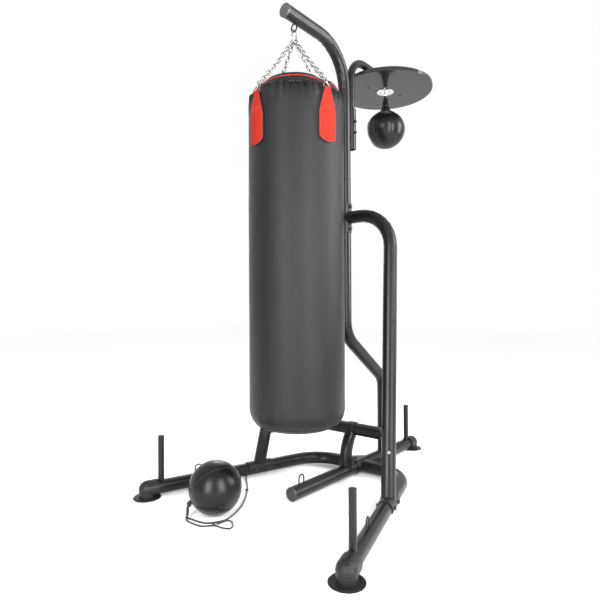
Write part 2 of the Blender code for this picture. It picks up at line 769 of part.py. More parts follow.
def build_platform():
    """The bent bracket tube that slides in a receiver on the back of the mast, with the board under it."""
    receiver_bore = BRACKET_R + RECEIVER_BORE_GAP
    receiver = ring("platform_receiver", (0, BRACKET_Y, RECEIVER_LOW_Z), (0, BRACKET_Y, RECEIVER_TOP_Z),
                    receiver_bore, RECEIVER_R)
    path = filleted(
        [(0, BRACKET_Y, BRACKET_LOW_Z), (0, BRACKET_Y, BRACKET_Z), (0, BRACKET_END_Y, BRACKET_Z)],
        [BRACKET_BEND_R],
    )
    bracket = tube("bracket_tube", path, BRACKET_R, black_paint())
    for index in (0, 1):
        height = HOLE_LOW_Z - index * HOLE_PITCH
        cut_along(bracket, (-0.04, BRACKET_Y, height), (0.04, BRACKET_Y, height), HOLE_R, 10)
    for place, height in (("low", SET_SCREW_LOW_Z), ("high", SET_SCREW_HIGH_Z)):
        cut_along(receiver, (0.005, BRACKET_Y, height), (0.04, BRACKET_Y, height), SCREW_R + GAP, 10)
        bolt("bracket_bolt_" + place, (receiver_bore + 0.001, BRACKET_Y, height),
             (RECEIVER_R + GAP, BRACKET_Y, height), SCREW_R, 0.0065, 0.0060, zinc(), nut=False)
    board_solid()
    plate_low = BOARD_LOW_Z + BOARD_T + GAP
    web_high = BRACKET_Z - BRACKET_R - GAP
    web_low = plate_low + PLATE_T / 2
    plate = box_mesh((0, BOARD_Y, plate_low + PLATE_T / 2), (0.110, 0.230, PLATE_T))
    web = box_mesh((0, BOARD_Y, (web_low + web_high) / 2), (WEB_W, WEB_LENGTH, web_high - web_low))
    baked_union("bracket_plate", [plate, web])
    profile = [(0, 0), (SWIVEL_R, 0), (SWIVEL_R, -0.0022), (SWIVEL_R - 0.004, -0.0034), (0.016, -0.0040),
               (0.0135, -0.0075), (0.009, -0.0098), (0, -0.0104)]
    turned("swivel_base", profile, Matrix.Translation((0, SWIVEL_Y, BOARD_LOW_Z - GAP)), chrome(), 24)


def board_solid():
    bm = bmesh.new()
    bmesh.ops.create_cone(bm, cap_ends=True, segments=56, radius1=BOARD_R, radius2=BOARD_R, depth=BOARD_T)
    edges = [edge for edge in bm.edges if abs(edge.verts[0].co.z - edge.verts[1].co.z) < 1e-6]
    bmesh.ops.bevel(bm, geom=edges, offset=0.002, segments=1, affect="EDGES")
    bmesh.ops.translate(bm, verts=bm.verts, vec=(0, BOARD_Y, BOARD_LOW_Z + BOARD_T / 2))
    return mesh_object("speed_board", bm, board_wood())


def box_mesh(centre, size):
    bm = bmesh.new()
    bmesh.ops.create_cube(bm, size=1.0)
    bmesh.ops.scale(bm, verts=bm.verts, vec=size)
    bmesh.ops.translate(bm, verts=bm.verts, vec=centre)
    return bm


def build_speed_bag():
    pivot = Vector((0, SWIVEL_Y, SWIVEL_PIVOT_Z))
    profile = [(0, 0.0028), (0.0050, 0.0022), (0.0062, -0.0015), (0.0040, -0.0050),
               (0.0040, -0.0080), (0, -0.0085)]
    turned("swivel_hook", profile, Matrix.Translation(pivot), chrome(), 14)
    profile = [
        (0, 1.8570), (0.0075, 1.8565), (0.0087, 1.850), (0.0115, 1.835), (0.0160, 1.809), (0.0240, 1.784),
        (0.0345, 1.775), (0.0490, 1.765), (0.0625, 1.755), (0.0735, 1.745), (0.0815, 1.736), (0.0905, 1.721),
        (0.0960, 1.705), (SPEED_BAG_R, SPEED_BAG_Z),
    ]
    for step in range(1, 8):
        angle = math.pi / 2 * step / 8
        profile.append((SPEED_BAG_R * math.cos(angle), SPEED_BAG_Z - SPEED_BAG_R * math.sin(angle)))
    profile.append((0, SPEED_BAG_Z - SPEED_BAG_R))
    turned("speed_bag", profile, Matrix.Translation((0, SWIVEL_Y, 0)), black_leather(), 28)


# ---------------------------------------------------------------- double-end ball


def build_ball():
    centre = Vector((BALL_X, BALL_Y, BALL_R))
    mesh_object("double_end_ball", ball_mesh(centre, BALL_R, 28, 16), black_leather())
    pole = centre - BALL_AXIS * (BALL_R + 0.0062)
    strap = smooth_route([pole, pole + Vector((-0.0105, 0.0035, -0.0105)),
                          pole + Vector((-0.009, -0.0025, -0.0215)), pole + Vector((-0.0015, -0.009, -0.0325)),
                          pole + Vector((0.0065, -0.0135, -0.0400))], 3)
    tube("ball_strap", strap, BALL_STRAP_R, black_leather(), level=2)


CORD_ROUTE = (
    (-0.360, -0.236), (-0.3235, -0.2697), (-0.273, -0.313), (-0.2245, -0.3614), (-0.181, -0.4116),
    (-0.1373, -0.4694), (-0.114, -0.509), (-0.0935, -0.551), (-0.0805, -0.5935), (-0.0800, -0.6224),
    (-0.104, -0.666), (-0.1307, -0.680), (-0.160, -0.6840), (-0.1850, -0.6850), (-0.1962, -0.6930),
    (-0.1850, -0.7020), (-0.160, -0.7050), (-0.130, -0.7045), (-0.101, -0.6975), (-0.0756, -0.6690),
    (-0.0560, -0.6635), (-0.0358, -0.6605), (-0.0140, -0.6500), (-0.0164, -0.633), (-0.0350, -0.6140),
    (-0.0554, -0.6045), (-0.0695, -0.6110), (-0.0715, -0.6340), (-0.0757, -0.6530),
)


def build_cord():
    """The elastic cord: from under the left base arm, past the ball's strap, to a loop on its own end."""
    route = [(x, y, CORD_R + 0.0003) for x, y in CORD_ROUTE]
    cord = wire_curve("ball_cord", smooth_route(route, 3), CORD_R, 2)
    adopt(cord, "ball_cord", elastic())


build_base()
build_feet()
build_pegs_and_loops()
build_braces()
build_crossbar()
build_mast()
build_hanger()
build_bag()
build_platform()
build_speed_bag()
build_ball()
build_cord()
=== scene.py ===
"""Looks for the heavy bag stand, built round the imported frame."""

import math

import bmesh
import bpy
import numpy as np
from mathutils import Matrix, Vector, noise


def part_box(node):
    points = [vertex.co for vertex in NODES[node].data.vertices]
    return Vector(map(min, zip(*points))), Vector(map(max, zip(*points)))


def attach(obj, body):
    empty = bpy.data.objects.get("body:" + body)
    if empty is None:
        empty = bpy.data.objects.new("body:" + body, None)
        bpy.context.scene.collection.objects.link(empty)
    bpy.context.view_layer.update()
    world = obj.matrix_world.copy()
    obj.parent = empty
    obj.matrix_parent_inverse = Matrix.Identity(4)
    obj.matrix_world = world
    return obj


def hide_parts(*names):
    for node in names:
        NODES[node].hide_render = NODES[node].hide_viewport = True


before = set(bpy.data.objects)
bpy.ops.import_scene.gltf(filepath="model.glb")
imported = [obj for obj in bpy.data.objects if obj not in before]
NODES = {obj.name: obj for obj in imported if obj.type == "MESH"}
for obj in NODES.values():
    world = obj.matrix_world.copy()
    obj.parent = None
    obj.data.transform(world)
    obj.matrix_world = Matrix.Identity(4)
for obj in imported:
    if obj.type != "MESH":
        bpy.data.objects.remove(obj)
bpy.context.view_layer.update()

TAU = 2 * math.pi
UP = Vector((0, 0, 1))

# ------------------------------------------------------------------ camera and stage

CAMERA_PLACE = (1.3043, -1.8260, 0.7747)
CAMERA_YAW = math.radians(40.09)
CAMERA_PITCH = math.radians(0.53)
CAMERA_ROLL = -0.0045
CAMERA_LENS = 29.92
CAMERA_SHIFT_Y = 0.0048
WORLD_STRENGTH = 1.0
FLOOR_HALF = 14.0
FLOOR_WHITE = 0.97
FLOOR_ROUGHNESS = 0.9
LIGHTS_AIM = (0.0, -0.3, 1.0)
SOFTBOXES = (
    ("left_softbox", (0.75, -3.30, 1.35), (0.60, 2.6), 125),
    ("right_softbox", (2.95, -1.30, 1.45), (0.60, 2.6), 150),
    ("side_softbox", (2.35, 1.75, 1.85), (0.8, 2.2), 100),
    ("back_softbox", (-2.6, 1.9, 2.1), (1.2, 1.6), 30),
)


def make_camera():
    data = bpy.data.cameras.new("camera")
    data.lens = CAMERA_LENS
    data.sensor_width = 36.0
    data.shift_y = CAMERA_SHIFT_Y
    data.clip_end = 60.0
    camera = bpy.data.objects.new("camera", data)
    camera.location = CAMERA_PLACE
    turn = Matrix.Rotation(CAMERA_YAW, 3, "Z") @ Matrix.Rotation(math.pi / 2 + CAMERA_PITCH, 3, "X")
    camera.rotation_euler = (turn @ Matrix.Rotation(CAMERA_ROLL, 3, "Z")).to_euler()
    bpy.context.scene.collection.objects.link(camera)
    bpy.context.scene.camera = camera


def area_light(name, place, target, size, power):
    data = bpy.data.lights.new(name, "AREA")
    data.shape = "RECTANGLE"
    data.size, data.size_y = size
    data.energy = power
    light = bpy.data.objects.new(name, data)
    light.location = place
    light.rotation_euler = (Vector(target) - Vector(place)).to_track_quat("-Z", "Y").to_euler()
    bpy.context.scene.collection.objects.link(light)


def make_stage():
    world = bpy.data.worlds.new("studio")
    world.use_nodes = True
    background = world.node_tree.nodes["Background"]
    background.inputs["Color"].default_value = (1.0, 1.0, 1.0, 1.0)
    background.inputs["Strength"].default_value = WORLD_STRENGTH
    bpy.context.scene.world = world
    bpy.context.scene.view_settings.view_transform = "Standard"
    for name, place, size, power in SOFTBOXES:
        area_light(name, place, LIGHTS_AIM, size, power)
    mesh = bpy.data.meshes.new("floor")
    half = FLOOR_HALF
    corners = [(-half, -half, 0), (half, -half, 0), (half, half, 0), (-half, half, 0)]
    mesh.from_pydata(corners, [], [(0, 1, 2, 3)])
    floor = bpy.data.objects.new("floor", mesh)
    paint = bpy.data.materials.new("floor_white")
    paint.use_nodes = True
    shader = paint.node_tree.nodes["Principled BSDF"]
    shader.inputs["Base Color"].default_value = (FLOOR_WHITE, FLOOR_WHITE, FLOOR_WHITE, 1.0)
    shader.inputs["Roughness"].default_value = FLOOR_ROUGHNESS
    mesh.materials.append(paint)
    bpy.context.scene.collection.objects.link(floor)


make_camera()
make_stage()

# ------------------------------------------------------------------ materials


class Shade:
    """A Principled material whose colour, roughness and bump come from procedural nodes."""

    def __init__(self, name, colour, roughness, metallic=0.0, specular=0.5):
        self.material = bpy.data.materials.new(name)
        self.material.use_nodes = True
        self.tree = self.material.node_tree
        self.shader = self.tree.nodes["Principled BSDF"]
        self.place = self.tree.nodes.new("ShaderNodeTexCoord").outputs["Object"]
        self.shader.inputs["Base Color"].default_value = (*colour, 1.0)
        self.shader.inputs["Roughness"].default_value = roughness
        self.shader.inputs["Metallic"].default_value = metallic
        self.shader.inputs["Specular IOR Level"].default_value = specular
        self.colour = colour
        self.roughness = roughness
        self.height = None

    def node(self, kind, links=(), **values):
        made = self.tree.nodes.new(kind)
        for key, value in values.items():
            if hasattr(made, key):
                setattr(made, key, value)
            else:
                made.inputs[key.replace("_", " ")].default_value = value
        for socket, source in dict(links).items():
            self.tree.links.new(source, made.inputs[socket])
        return made

    def noise(self, scale, detail=4.0, rough=0.55, stretch=None):
        place = self.place
        if stretch:
            mapping = self.node("ShaderNodeMapping", {"Vector": place})
            mapping.inputs["Scale"].default_value = stretch
            place = mapping.outputs["Vector"]
        made = self.node("ShaderNodeTexNoise", {"Vector": place}, Scale=scale, Detail=detail, Roughness=rough)
        return made.outputs["Fac"]

    def cells(self, scale, feature="DISTANCE_TO_EDGE"):
        made = self.node("ShaderNodeTexVoronoi", {"Vector": self.place}, feature=feature, Scale=scale)
        return made.outputs["Distance"]

    def ramp(self, source, low, high, dark=0.0, light=1.0):
        made = self.node("ShaderNodeMapRange", {"Value": source})
        for key, value in (("From Min", low), ("From Max", high), ("To Min", dark), ("To Max", light)):
            made.inputs[key].default_value = value
        return made.outputs["Result"]

    def tint(self, source, other, low=0.35, high=0.65):
        """Mixes the colour towards another one where the source is high."""
        made = self.node("ShaderNodeMix", data_type="RGBA")
        self.tree.links.new(self.ramp(source, low, high), made.inputs[0])
        now = self.shader.inputs["Base Color"]
        if now.is_linked:
            self.tree.links.new(now.links[0].from_socket, made.inputs[6])
        else:
            made.inputs[6].default_value = (*self.colour, 1.0)
        made.inputs[7].default_value = (*other, 1.0)
        self.tree.links.new(made.outputs[2], now)
        return self

    def polish(self, source, spread, low=0.3, high=0.7):
        """Varies the roughness by the spread either way."""
        value = self.ramp(source, low, high, self.roughness - spread, self.roughness + spread)
        self.tree.links.new(value, self.shader.inputs["Roughness"])
        return self

    def bump(self, source, distance, strength=1.0):
        links = {"Height": source}
        if self.height is not None:
            links["Normal"] = self.height
        made = self.node("ShaderNodeBump", links)
        made.inputs["Strength"].default_value = strength
        made.inputs["Distance"].default_value = distance
        self.height = made.outputs["Normal"]
        self.tree.links.new(self.height, self.shader.inputs["Normal"])
        return self


def powder_coat(name="black_powder_coat", colour=(0.0050, 0.0050, 0.0053), roughness=0.31):
    paint = Shade(name, colour, roughness, specular=0.24)
    paint.tint(paint.noise(5.0), tuple(c * 1.35 for c in colour))
    paint.polish(paint.noise(30.0), 0.05)
    paint.bump(paint.noise(950.0, 2.0), 0.00010, 0.16)
    paint.bump(paint.noise(38.0, 2.0), 0.0005, 0.04)
    return paint.material


def vinyl(name, colour, roughness, grain=520.0, depth=0.00035, strength=0.45, specular=0.42):
    skin = Shade(name, colour, roughness, specular=specular)
    skin.tint(skin.noise(3.2, 5.0), tuple(c * 1.35 for c in colour))
    cells = skin.cells(grain)
    # Painted shade: the grain's recessed lines, where the bump below sinks the skin, are mixed darker.
    skin.tint(skin.ramp(cells, 0.0, 0.12, 1.0, 0.0), tuple(c * 0.72 for c in colour), 0.2, 0.9)
    skin.polish(skin.noise(22.0), 0.05)
    skin.bump(skin.noise(14.0, 3.0), 0.0016, 0.10)
    skin.bump(skin.ramp(cells, 0.0, 0.20), depth, strength)
    skin.bump(skin.noise(grain * 2.2, 3.0), depth * 0.5, strength * 0.5)
    return skin.material


def webbing(name, colour, pitch=0.0022, roughness=0.66):
    """Woven tape with rows across it."""
    cloth = Shade(name, colour, roughness, specular=0.12)
    rows = cloth.node("ShaderNodeTexWave", {"Vector": cloth.place}, Scale=TAU / pitch / 20.0,
                      Distortion=0.8, Detail=1.0)
    rows.bands_direction = "Z"
    cloth.tint(cloth.noise(40.0, 4.0), tuple(c * 0.78 for c in colour))
    cloth.tint(rows.outputs["Fac"], tuple(c * 0.82 for c in colour), 0.0, 0.35)
    cloth.bump(rows.outputs["Fac"], 0.0002, 0.4)
    cloth.bump(cloth.noise(900.0, 2.0), 0.0002, 0.4)
    return cloth.material


def metal(name, colour, roughness, streaks=260.0):
    steel = Shade(name, colour, roughness, metallic=1.0)
    steel.tint(steel.noise(60.0, 5.0), tuple(c * 0.80 for c in colour))
    steel.polish(steel.noise(110.0, 4.0), 0.07)
    steel.bump(steel.noise(streaks, 3.0), 0.00012, 0.25)
    return steel.material


def moulded(name, colour, roughness, specular=0.45):
    plastic = Shade(name, colour, roughness, specular=specular)
    plastic.tint(plastic.noise(14.0), tuple(c * 1.25 for c in colour))
    plastic.polish(plastic.noise(60.0), 0.05)
    plastic.bump(plastic.noise(1300.0, 2.0), 0.00012, 0.3)
    return plastic.material


def laminate():
    board = Shade("board_laminate", (0.0100, 0.0100, 0.0105), 0.13, specular=0.34)
    board.tint(board.noise(7.0, 5.0), (0.014, 0.014, 0.015))
    board.polish(board.noise(18.0), 0.03)
    board.bump(board.noise(420.0, 2.0), 0.00008, 0.16)
    board.shader.inputs["Coat Weight"].default_value = 0.12
    board.shader.inputs["Coat Roughness"].default_value = 0.08
    return board.material


def braided(name, colour):
    cord = Shade(name, colour, 0.78, specular=0.25)
    # Painted highlight and painted shade: the raised strand crowns, where the bump below lifts the cord, are
    # mixed up to twice as light as the gaps between strands.
    cord.tint(cord.cells(900.0), tuple(c * 2.0 for c in colour), 0.0, 0.35)
    cord.bump(cord.cells(900.0), 0.0005, 0.7)
    cord.shader.inputs["Sheen Weight"].default_value = 0.3
    return cord.material


PAINT = powder_coat()
FITTING = powder_coat("black_fitting", (0.0080, 0.0080, 0.0084), 0.40)
ZINC = metal("zinc_steel", (0.37, 0.37, 0.365), 0.34)
CHROME = metal("chrome_steel", (0.80, 0.80, 0.81), 0.10, 80.0)
DARK_STEEL = metal("black_oxide_steel", (0.055, 0.055, 0.058), 0.36)
PLUG = moulded("black_plug", (0.015, 0.015, 0.015), 0.45)
CAP = moulded("grey_cap", (0.042, 0.042, 0.044), 0.26, 0.4)
VINYL = vinyl("bag_vinyl", (0.0062, 0.0062, 0.0065), 0.35, specular=0.20)
BAND = vinyl("bag_band_vinyl", (0.0045, 0.0045, 0.0047), 0.44, specular=0.20)
PIPING = vinyl("red_piping", (0.30, 0.010, 0.006), 0.38, 900.0, 0.0002, 0.3)
STRAP = webbing("orange_strap", (0.32, 0.0145, 0.0055))
STRAP_EDGE = vinyl("strap_edge", (0.055, 0.006, 0.004), 0.55, 900.0, 0.0002, 0.3)
THREAD_RED = braided("red_thread", (0.36, 0.016, 0.010))
THREAD = braided("black_thread", (0.014, 0.014, 0.014))
LEATHER = vinyl("black_leather", (0.0042, 0.0042, 0.0044), 0.27, 700.0, 0.00018, 0.25, 0.22)
LEATHER_SOFT = vinyl("black_strap_leather", (0.011, 0.011, 0.011), 0.45, 800.0, 0.0002, 0.3)
BOARD = laminate()
CORD = braided("elastic_braid", (0.0125, 0.0125, 0.0130))

# ------------------------------------------------------------------ mesh building


def sweep(path, radius, sides=12, closed=False, section=None, side=None):
    """Vertices and faces of a tube along a path. A section of (across, out) pairs replaces the circle."""
    points = [Vector(p) for p in path]
    count = len(points)
    tangents = []
    for i in range(count):
        before = points[i - 1] if (closed or i) else points[0]
        after = points[(i + 1) % count] if (closed or i < count - 1) else points[-1]
        tangents.append((after - before).normalized())
    first = Vector(side) if side is not None else tangents[0].orthogonal()
    normal = (first - tangents[0] * first.dot(tangents[0])).normalized()
    normals = [normal]
    for previous, tangent in zip(tangents, tangents[1:]):
        turn = previous.rotation_difference(tangent)
        normal = turn @ normals[-1]
        normals.append((normal - tangent * normal.dot(tangent)).normalized())
    if closed:
        back = tangents[-1].rotation_difference(tangents[0]) @ normals[-1]
        slip = normals[0].angle(back, 0.0)
        if tangents[0].cross(back).dot(normals[0]) < 0:
            slip = -slip
        for i in range(count):
            normals[i] = Matrix.Rotation(-slip * i / count * -1, 3, tangents[i]) @ normals[i]
    if section is None:
        section = [(math.cos(TAU * k / sides), math.sin(TAU * k / sides)) for k in range(sides)]
    else:
        radius = 1.0
    verts = []
    for i, (point, tangent, normal) in enumerate(zip(points, tangents, normals)):
        size = radius[i] if hasattr(radius, "__len__") else radius
        other = tangent.cross(normal)
        verts += [point + (normal * a + other * b) * size for a, b in section]
    ring = len(section)
    faces = []
    for i in range(count if closed else count - 1):
        low = i * ring
        high = ((i + 1) % count) * ring
        faces += [(low + k, low + (k + 1) % ring, high + (k + 1) % ring, high + k) for k in range(ring)]
    if not closed:
        faces.append(tuple(range(ring - 1, -1, -1)))
        faces.append(tuple(range((count - 1) * ring, count * ring)))
    return verts, faces


def lathe(profile, steps, place=Matrix.Identity(4), push=None, sink=None):
    """A turned solid from (radius, height) pairs, top to bottom.

    push(angle, height, radius) moves its skin outwards and sink(angle, height) lowers it.
    """
    verts = []
    for radius, height in profile:
        if radius < 1e-6:
            verts.append(place @ Vector((0, 0, height)))
            continue
        for k in range(steps):
            angle = TAU * k / steps
            r = radius + (push(angle, height, radius) if push else 0.0)
            z = height - (sink(angle, height) if sink else 0.0)
            verts.append(place @ Vector((r * math.cos(angle), r * math.sin(angle), z)))
    faces = []
    start = 0
    for (r0, _), (r1, _) in zip(profile, profile[1:]):
        n0 = 1 if r0 < 1e-6 else steps
        n1 = 1 if r1 < 1e-6 else steps
        for k in range(steps):
            n = (k + 1) % steps
            if n0 == 1 and n1 == 1:
                continue
            if n0 == 1:
                faces.append((start, start + 1 + k, start + 1 + n))
            elif n1 == 1:
                faces.append((start + k, start + n0, start + n))
            else:
                faces.append((start + k, start + n0 + k, start + n0 + n, start + n))
        start += n0
    return verts, faces


def along(start, end):
    """The matrix that takes +Z along start to end, with its origin at start."""
    turn = (Vector(end) - Vector(start)).to_track_quat("Z", "Y").to_matrix().to_4x4()
    return Matrix.Translation(Vector(start)) @ turn


def prism(sides, radius, low, high, place, chamfer=0.0):
    """A many-sided nut or head between two heights of a place's own axis."""
    inner = radius - chamfer
    profile = [(0, high), (inner, high), (radius, high - chamfer * 0.6), (radius, low), (0, low)]
    if chamfer == 0.0:
        profile = [(0, high), (radius, high), (radius, low), (0, low)]
    return lathe(profile, sides, place)


def smooth_path(points, per_span=6, closed=False):
    """Points along a Catmull-Rom curve through the given ones."""
    knots = [Vector(p) for p in points]
    if closed:
        knots = [knots[-1], *knots, knots[0], knots[1]]
    else:
        knots = [2 * knots[0] - knots[1], *knots, 2 * knots[-1] - knots[-2]]
    path = []
    for a, b, c, d in zip(knots, knots[1:], knots[2:], knots[3:]):
        for step in range(per_span):
            t = step / per_span
            path.append(0.5 * (2 * b + (c - a) * t + (2 * a - 5 * b + 4 * c - d) * t * t
                               + (3 * b - a - 3 * c + d) * t ** 3))
    if not closed:
        path.append(knots[-2])
    return path


class Part:
    """Collects closed shells into one mesh object."""

    def __init__(self):
        self.verts = []
        self.faces = []
        self.slots = []

    def add(self, shell, slot=0):
        base = len(self.verts)
        self.verts += shell[0]
        self.faces += [tuple(base + i for i in face) for face in shell[1]]
        self.slots += [slot] * len(shell[1])
        return self

    def make(self, name, materials, body, slot=None, replaces=(), smooth=38.0):
        mesh = bpy.data.meshes.new(name)
        mesh.from_pydata([tuple(v) for v in self.verts], [], self.faces)
        for material in materials if isinstance(materials, (list, tuple)) else [materials]:
            mesh.materials.append(material)
        for polygon, index in zip(mesh.polygons, self.slots):
            polygon.material_index = index
        bm = bmesh.new()
        bm.from_mesh(mesh)
        bmesh.ops.recalc_face_normals(bm, faces=bm.faces)
        bm.to_mesh(mesh)
        bm.free()
        mesh.shade_smooth()
        mesh.set_sharp_from_angle(angle=math.radians(smooth))
        obj = bpy.data.objects.new(name, mesh)
        bpy.context.scene.collection.objects.link(obj)
        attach(obj, body)
        if replaces:
            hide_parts(*replaces)
        return obj


def middle(node):
    low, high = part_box(node)
    return (Vector(low) + Vector(high)) / 2


# ------------------------------------------------------------------ the elastic cord

CORD_R = 0.0032
CORD_ROUTE = (
    (-0.360, -0.236), (-0.3235, -0.2697), (-0.273, -0.313), (-0.2245, -0.3614), (-0.181, -0.4116),
    (-0.1373, -0.4694), (-0.114, -0.509), (-0.0935, -0.551), (-0.0805, -0.5935), (-0.0800, -0.6224),
    (-0.104, -0.666), (-0.1307, -0.680), (-0.160, -0.6840), (-0.1850, -0.6850), (-0.1962, -0.6930),
    (-0.1850, -0.7020), (-0.160, -0.7050), (-0.130, -0.7045), (-0.101, -0.6975), (-0.0756, -0.6690),
    (-0.0560, -0.6635), (-0.0358, -0.6605), (-0.0140, -0.6500), (-0.0164, -0.633), (-0.0350, -0.6140),
    (-0.0554, -0.6045), (-0.0695, -0.6110), (-0.0715, -0.6340), (-0.0757, -0.6530),
)

CORD_KNOTS = (
    (-0.2245, -0.3614, (-0.6, 0.8, 0), 0.0050), (-0.0756, -0.667, (0.1, -1, 0), 0.0050),
    (-0.356, -0.239, (0.7, -0.6, 0), 0.0042),
)
KNOT_RISE = 1.52


def knot(part, place, way, size):
    """A small overhand knot: a trefoil of cord pulled tight round the run through it."""
    frame_at = along(place, Vector(place) + Vector(way))
    path = []
    for k in range(36):
        t = TAU * k / 36
        x = math.sin(t) + 1.7 * math.sin(2 * t)
        y = math.cos(t) - 1.7 * math.cos(2 * t)
        z = -math.sin(3 * t) * 1.25
        path.append(frame_at @ (Vector((x, y, z)) * size * 0.36))
    part.add(sweep(path, size * 0.50, 8, closed=True))


def make_cord():
    route = [Vector((x, y, CORD_R + 0.0003)) for x, y in CORD_ROUTE]
    path = smooth_path(route, 6)
    run = Part().add(sweep(path, CORD_R, 10))
    cord = run.make("ball_elastic_cord", CORD, "double_end_ball", "elastic_cord", ["ball_cord"])
    knots = Part()
    for x, y, way, size in CORD_KNOTS:
        knot(knots, Vector((x, y, size * KNOT_RISE)), way, size)
    ties = knots.make("ball_cord_knots", CORD, "double_end_ball", "elastic_cord")


make_cord()

# ------------------------------------------------------------------ painted frame


def smooth_node(node):
    """Shades a CAD node smoothly except at its real edges."""
    node.data.shade_smooth()
    node.data.set_sharp_from_angle(angle=math.radians(32.0))


def paint_nodes():
    looks = {
        "arm_end_cap": CAP, "centre_tube_cap": PLUG, "speed_board": BOARD, "swivel_base": CHROME,
        "swivel_hook": CHROME, "quick_link": ZINC, "crossbar_bolt_left": ZINC,
        "crossbar_bolt_right": ZINC,
    }
    for name, node in NODES.items():
        look = looks.get(name)
        if look is None:
            look = DARK_STEEL if "_bolt_" in name else PAINT
        if name.startswith(("foot_", "junction_", "brace_saddle", "mast_saddle", "crossbar_saddle")):
            look = FITTING
        node.data.materials.clear()
        node.data.materials.append(look)
        for polygon in node.data.polygons:
            polygon.material_index = 0
        smooth_node(node)


paint_nodes()

# ------------------------------------------------------------------ heavy bag

BAG_Y = middle("bag_body").y
BAG_TOP = float(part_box("bag_top_band")[1][2])
BAG_LOW = float(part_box("bag_body")[0][2])
BAG_R = float(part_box("bag_body")[1][0])
BAG_CORNER = 0.084
BACK_SEAM = math.radians(62)
STRAP_TURN = math.radians(-11.2)
STRAP_ANGLES = {"right": STRAP_TURN, "rear": STRAP_TURN + TAU / 4, "left": STRAP_TURN + TAU / 2,
                "front": STRAP_TURN - TAU / 4}
BAG_PLACE = Matrix.Translation((0, BAG_Y, 0))
HEM_Z = BAG_TOP - 0.0140
SEAM_DROP = 0.0340
BAG_OUTLINE = (
    (0.1640, 0.0020), (0.1665, 0.0060), (0.1695, 0.0130), (0.1725, 0.0200), (0.1755, 0.0270),
    (0.1785, 0.0340), (0.1815, 0.0420), (0.1845, 0.0510), (0.1873, 0.0620), (0.1892, 0.0740),
    (0.1905, 0.0900), (0.1912, 0.1100), (0.1915, 0.1450), (0.1915, 1.2600),
)
SHELL_STEPS = 288
RING_STEPS = 192
BASE_RING_STEPS = 160
RIM_DENT = 0.0065
RIM_DIP = 0.0080
GATHER_DEPTH = 0.0165
GATHER_FALL = 0.042
PUCKER_DEPTH = 0.0022
BASE_SEAM_TURN = math.radians(48)


def near_strap(angle, spread, power=2):
    """One on a strap's middle line, falling to nothing away from it."""
    near = 0.0
    for place in STRAP_ANGLES.values():
        away = abs((angle - place + math.pi) % TAU - math.pi)
        near += math.exp(-(away / spread) ** power)
    return near


def strap_dent(angle, drop):
    """How far the rim is drawn in where a strap's chain pulls on it."""
    return -RIM_DENT * near_strap(angle, 0.17) * math.exp(-max(drop, 0.0) / 0.022)


def rim_dip(angle, z):
    """How far the rim is pulled down at the straps."""
    depth = max(BAG_TOP - z, 0.0)
    return RIM_DIP * near_strap(angle, 0.34) * math.exp(-(depth / 0.050) ** 2)


def bag_radius(z):
    """The bag's radius at a height, without its creases."""
    depth = BAG_TOP - z
    depths = [d for _, d in BAG_OUTLINE]
    radii = [r for r, _ in BAG_OUTLINE]
    return float(np.interp(depth, depths, radii))


def bag_push(angle, z, radius):
    """Gathers under the band's seam, faint dents, and puckers where the base is sewn in."""
    if radius < 0.05:
        return 0.0
    around = Vector((math.cos(angle), math.sin(angle), 0))
    drop = BAG_TOP - SEAM_DROP - z
    push = strap_dent(angle, drop)
    if drop > -0.003:
        wave = noise.noise(Vector((around.x * 4.5, around.y * 4.5, 3.1))) * 0.6
        wave += noise.noise(Vector((around.x * 12.0, around.y * 12.0, 7.7 + z * 3))) * 1.0
        wave += noise.noise(Vector((around.x * 26.0, around.y * 26.0, 1.3 + z * 5))) * 0.55
        calm = 1.0 - min(1.0, near_strap(angle, 0.17, 4))
        fall = math.exp(-(max(drop, 0.0) / GATHER_FALL) ** 1.5) * min(1.0, (drop + 0.003) / 0.010)
        push += GATHER_DEPTH * wave * fall * (0.08 + 0.92 * calm)
    push += 0.0010 * noise.noise(Vector((around.x * 1.6, around.y * 1.6, z * 2.2)))
    push += 0.0004 * noise.noise(Vector((around.x * 5.0, around.y * 5.0, z * 7.0)))
    low = z - BAG_LOW
    if 0.002 < low < 0.16:
        wave = noise.noise(Vector((around.x * 9.0, around.y * 9.0, 1.7)))
        wave += 0.8 * noise.noise(Vector((around.x * 19.0, around.y * 19.0, 5.2)))
        push += PUCKER_DEPTH * wave * math.exp(-abs(low - 0.030) / 0.036)
    return push


def bag_profile():
    rows = [(0.0, BAG_TOP - SEAM_DROP - 0.0006), (0.10, BAG_TOP - SEAM_DROP - 0.0006)]
    depth = SEAM_DROP + 0.0006
    while BAG_TOP - depth > BAG_LOW + BAG_CORNER + 0.004:
        rows.append((bag_radius(BAG_TOP - depth), BAG_TOP - depth))
        depth += 0.003 if depth < 0.12 else 0.014
    for step in range(0, 15):
        angle = math.pi / 2 * step / 14
        rows.append((BAG_R - BAG_CORNER + BAG_CORNER * math.cos(angle),
                     BAG_LOW + BAG_CORNER - BAG_CORNER * math.sin(angle)))
    rows += [(0.06, BAG_LOW + 0.0006), (0.03, BAG_LOW + 0.001), (0.0, BAG_LOW + 0.001)]
    return rows


def ring_path(radius, z, count=96, push=None):
    path = []
    for k in range(count):
        angle = TAU * k / count
        r = radius + (push(angle, z, radius) if push else 0.0)
        path.append(BAG_PLACE @ Vector((r * math.cos(angle), r * math.sin(angle), z - rim_dip(angle, z))))
    return path


